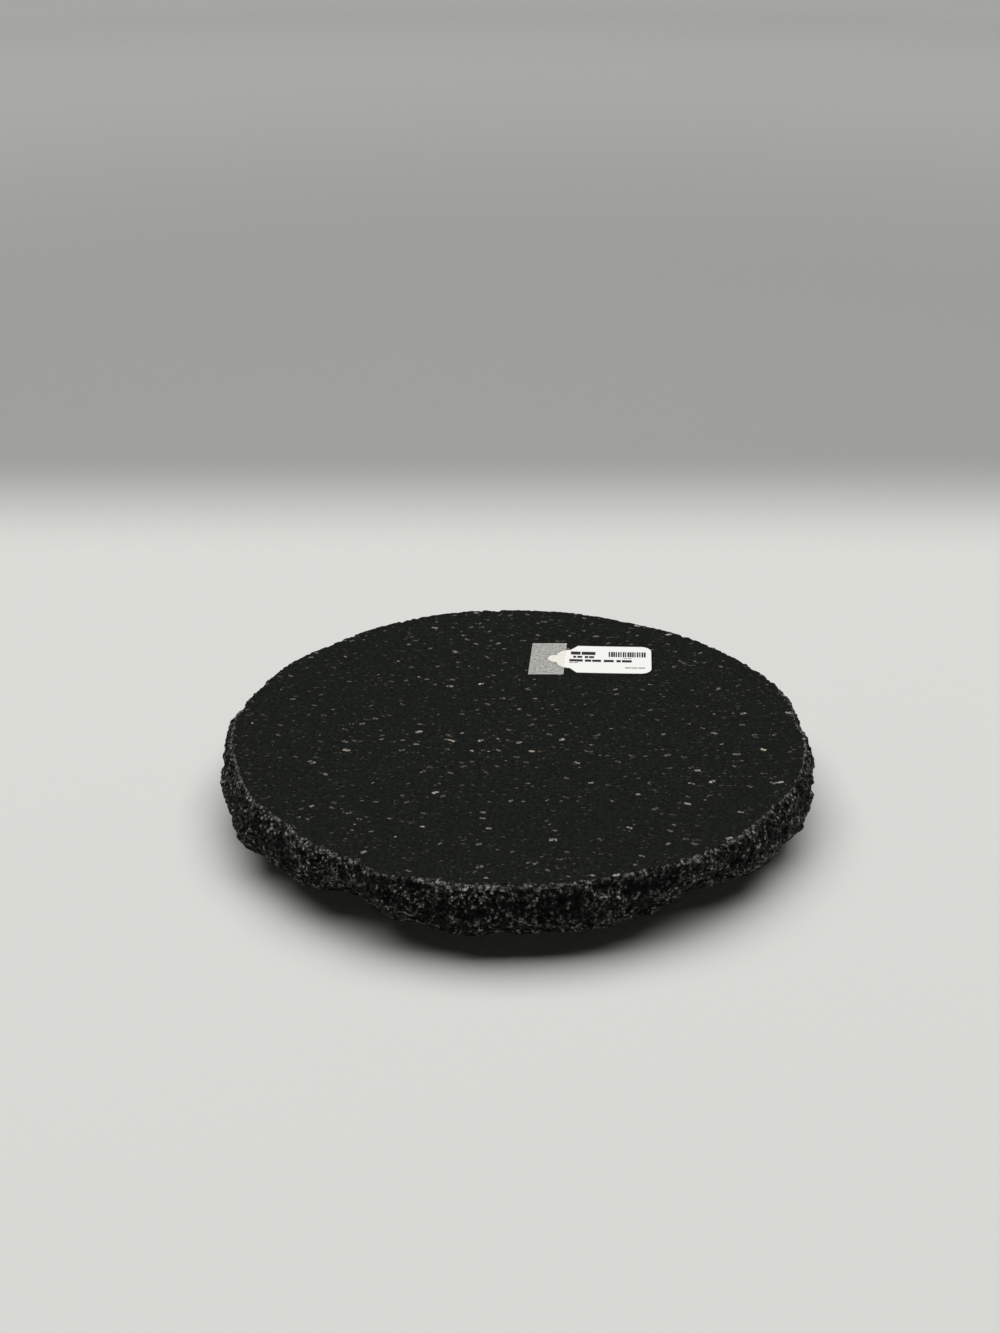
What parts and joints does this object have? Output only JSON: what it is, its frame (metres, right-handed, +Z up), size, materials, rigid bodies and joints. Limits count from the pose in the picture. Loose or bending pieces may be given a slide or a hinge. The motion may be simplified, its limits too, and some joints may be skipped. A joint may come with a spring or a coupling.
{
  "type": "stone lazy susan turntable",
  "caption": "Round black stone turntable with a honed top and a rough broken rim, turning on a low aluminium ball bearing ring with rubber feet; paper tag taped on top.",
  "frame": {"origin": "on the spin axis, on the plane that the rubber feet stand on", "axes": "+Z up along the spin axis; -Y towards the side from which the tag reads the right way up, +X to its right"},
  "size_m": [0.3036, 0.3054, 0.0428],
  "materials": {
    "stone": "honed top, broken rim",
    "aluminium": "turned",
    "plated_steel": "zinc plated",
    "bearing_steel": "polished",
    "nylon": "moulded",
    "rubber": "matt",
    "tag_card": "coated card",
    "tape_film": "frosted film"
  },
  "bodies": {
    "base": {"bearing_outer_ring": "aluminium", "ball_filler_plug": "plated_steel", "rubber_foot_1": "rubber", "rubber_foot_2": "rubber", "rubber_foot_3": "rubber", "rubber_foot_4": "rubber", "rubber_foot_5": "rubber", "rubber_foot_6": "rubber"},
    "turntable": {"stone_slab": "stone", "bearing_inner_ring": "aluminium", "mounting_screw_1": "plated_steel", "mounting_screw_2": "plated_steel", "mounting_screw_3": "plated_steel", "mounting_screw_4": "plated_steel", "nylon_anchor_1": "nylon", "nylon_anchor_2": "nylon", "nylon_anchor_3": "nylon", "nylon_anchor_4": "nylon", "price_tag": "tag_card", "tag_tape": "tape_film"},
    "ball_cage": {"ball_retainer": "nylon", "bearing_ball_01": "bearing_steel", "bearing_ball_02": "bearing_steel", "bearing_ball_03": "bearing_steel", "bearing_ball_04": "bearing_steel", "bearing_ball_05": "bearing_steel", "bearing_ball_06": "bearing_steel", "bearing_ball_07": "bearing_steel", "bearing_ball_08": "bearing_steel", "bearing_ball_09": "bearing_steel", "bearing_ball_10": "bearing_steel", "bearing_ball_11": "bearing_steel", "bearing_ball_12": "bearing_steel", "bearing_ball_13": "bearing_steel", "bearing_ball_14": "bearing_steel", "bearing_ball_15": "bearing_steel", "bearing_ball_16": "bearing_steel", "bearing_ball_17": "bearing_steel", "bearing_ball_18": "bearing_steel", "bearing_ball_19": "bearing_steel", "bearing_ball_20": "bearing_steel", "bearing_ball_21": "bearing_steel", "bearing_ball_22": "bearing_steel", "bearing_ball_23": "bearing_steel", "bearing_ball_24": "bearing_steel"}
  },
  "joints": [
    {"name": "turntable_spin", "type": "hinge", "parent": "base", "child": "turntable", "pos_m": [0, 0, 0.0105], "axis": [0, 0, 1], "continuous": true},
    {"name": "cage_spin", "type": "hinge", "parent": "base", "child": "ball_cage", "pos_m": [0, 0, 0.0105], "axis": [0, 0, 1], "continuous": true}
  ],
  "couplings": [
    {"joint": "cage_spin", "follows": "turntable_spin", "ratio": 0.4865}
  ]
}
